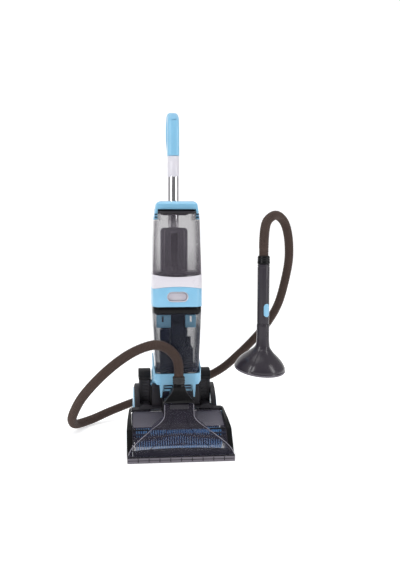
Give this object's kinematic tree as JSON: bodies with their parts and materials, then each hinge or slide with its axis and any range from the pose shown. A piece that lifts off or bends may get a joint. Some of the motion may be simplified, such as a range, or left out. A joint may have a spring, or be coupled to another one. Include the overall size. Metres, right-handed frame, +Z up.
{
  "type": "upright carpet cleaner",
  "caption": "Upright carpet cleaner with a clean tank above a dirty tank, a powered brush head, rear wheels, a loop grip and a hose with a bell-mouthed hand tool.",
  "frame": {"origin": "centre of the suction lip's flat foot, on the floor", "axes": "+X to the machine's left as it faces the viewer's right, +Y to the back of the machine, +Z up"},
  "size_m": [0.8005, 0.5048, 1.099],
  "materials": {
    "black_plastic": "satin",
    "gloss_black": "gloss",
    "charcoal_plastic": "satin",
    "blue_plastic": "satin gloss",
    "white_plastic": "gloss",
    "smoke_clear": "clear smoked",
    "tank_clear": "clear smoked",
    "lip_plastic": "satin",
    "chrome_tube": "polished",
    "steel": "brushed",
    "motor_metal": "satin",
    "rubber": "matte",
    "tyre_rubber": "matte",
    "hose_plastic": "ribbed",
    "bristle": "nylon bristle",
    "navy_plastic": "satin",
    "grey_clear": "translucent",
    "grey_plastic": "satin",
    "gunmetal_plastic": "satin gloss"
  },
  "bodies": {
    "base": {"chassis": "black_plastic", "deck_cover": "charcoal_plastic", "towers": "charcoal_plastic", "side_flanks": "gloss_black", "brush_window": "smoke_clear", "nozzle_channel": "smoke_clear", "nozzle_lip": "lip_plastic", "neck_duct": "black_plastic", "hose_adapter": "gloss_black", "hose_cuff": "rubber", "hose": "hose_plastic", "hose_end_cuff": "gloss_black", "wheel_axle": "steel", "brush_motor": "motor_metal", "drive_belt": "rubber", "spray_bar": "white_plastic", "pump": "charcoal_plastic"},
    "cover_latch": {"nozzle_latch": "charcoal_plastic"},
    "brush": {"brush_core": "navy_plastic", "brush_tufts": "bristle"},
    "belt_pulley": {"motor_pulley": "motor_metal"},
    "rollers": {"front_rollers": "black_plastic"},
    "left_wheel": {"left_tyre": "tyre_rubber", "left_hub": "blue_plastic"},
    "right_wheel": {"right_tyre": "tyre_rubber", "right_hub": "blue_plastic"},
    "upright": {"yoke": "blue_plastic", "spine_front": "grey_plastic", "spine_back": "grey_plastic", "blue_band": "blue_plastic", "white_band": "white_plastic", "grip_liner": "white_plastic", "suction_motor": "motor_metal", "handle_tube": "chrome_tube", "tube_collar": "white_plastic", "grip_left": "blue_plastic", "grip_right": "blue_plastic", "cord_hook_lower": "black_plastic", "cord_gland": "rubber", "screws": "steel"},
    "impeller": {"fan": "motor_metal"},
    "spray_trigger": {"grip_trigger": "blue_plastic"},
    "switch": {"power_button": "blue_plastic"},
    "cord_hook": {"cord_hook_upper": "black_plastic"},
    "latch": {"tank_latch": "white_plastic"},
    "upper_tank": {"clean_tank": "tank_clear", "tank_valve": "black_plastic"},
    "lid": {"tank_lid": "charcoal_plastic", "tank_seal": "rubber", "carry_handle": "blue_plastic"},
    "lower_tank": {"dirty_tank": "tank_clear", "dirty_lid": "gloss_black", "float_cage": "blue_plastic", "inlet_column": "black_plastic", "filter_tray": "grey_clear"},
    "float": {"float_ball": "navy_plastic"},
    "hand_tool": {"tool_handle": "gunmetal_plastic", "tool_head": "gunmetal_plastic", "tool_lip": "lip_plastic"},
    "tool_trigger": {"tool_button": "blue_plastic"}
  },
  "joints": [
    {"name": "recline", "type": "hinge", "parent": "base", "child": "upright", "pos_m": [0, 0.25, 0.175], "axis": [-1, 0, 0], "range_deg": [0, 50]},
    {"name": "left_wheel_spin", "type": "hinge", "parent": "base", "child": "left_wheel", "pos_m": [0, 0.27, 0.09], "axis": [1, 0, 0], "continuous": true},
    {"name": "right_wheel_spin", "type": "hinge", "parent": "base", "child": "right_wheel", "pos_m": [0, 0.27, 0.09], "axis": [1, 0, 0], "continuous": true},
    {"name": "brush_spin", "type": "hinge", "parent": "base", "child": "brush", "pos_m": [0, 0.088, 0.042], "axis": [1, 0, 0], "continuous": true},
    {"name": "pulley_spin", "type": "hinge", "parent": "base", "child": "belt_pulley", "pos_m": [0, 0.16, 0.072], "axis": [1, 0, 0], "continuous": true},
    {"name": "roller_spin", "type": "hinge", "parent": "base", "child": "rollers", "pos_m": [0, 0.15, 0.011], "axis": [1, 0, 0], "continuous": true},
    {"name": "cover_latch_press", "type": "slide", "parent": "base", "child": "cover_latch", "axis": [0, -0.1912, -0.9815], "range_m": [0, 0.003], "stiffness_N_per_m": 400},
    {"name": "impeller_spin", "type": "hinge", "parent": "upright", "child": "impeller", "pos_m": [0, 0.192, 0.52], "axis": [0, 0, 1], "continuous": true},
    {"name": "trigger_press", "type": "slide", "parent": "upright", "child": "spray_trigger", "axis": [0, 1, 0], "range_m": [0, 0.0024], "stiffness_N_per_m": 500},
    {"name": "switch_press", "type": "slide", "parent": "upright", "child": "switch", "axis": [0, 0.8, -0.6], "range_m": [0, 0.002], "stiffness_N_per_m": 800},
    {"name": "cord_hook_turn", "type": "hinge", "parent": "upright", "child": "cord_hook", "pos_m": [0, 0.31, 0.56], "axis": [0, 1, 0], "range_deg": [0, 180]},
    {"name": "tank_latch_press", "type": "slide", "parent": "upright", "child": "latch", "axis": [0, 1, 0], "range_m": [0, 0.0025], "stiffness_N_per_m": 500},
    {"name": "clean_tank_lift", "type": "slide", "parent": "upright", "child": "upper_tank", "axis": [0, 0, 1], "range_m": [0, 0.15]},
    {"name": "lid_hinge", "type": "hinge", "parent": "upper_tank", "child": "lid", "pos_m": [0, 0.239, 0.757], "axis": [-1, 0, 0], "range_deg": [0, 60]},
    {"name": "dirty_tank_slide", "type": "slide", "parent": "upright", "child": "lower_tank", "axis": [0, -1, 0], "range_m": [0, 0.01]},
    {"name": "float_rise", "type": "slide", "parent": "lower_tank", "child": "float", "axis": [0, 0, 1], "range_m": [0, 0.008]},
    {"name": "tool_swivel", "type": "hinge", "parent": "base", "child": "hand_tool", "pos_m": [0.275, 0.12, 0.597], "axis": [0, 0, 1], "continuous": true},
    {"name": "tool_trigger_press", "type": "slide", "parent": "hand_tool", "child": "tool_trigger", "axis": [-0.4226, 0.9063, 0], "range_m": [0, 0.002], "stiffness_N_per_m": 500}
  ],
  "couplings": [
    {"joint": "pulley_spin", "follows": "brush_spin", "ratio": 2.4286}
  ]
}
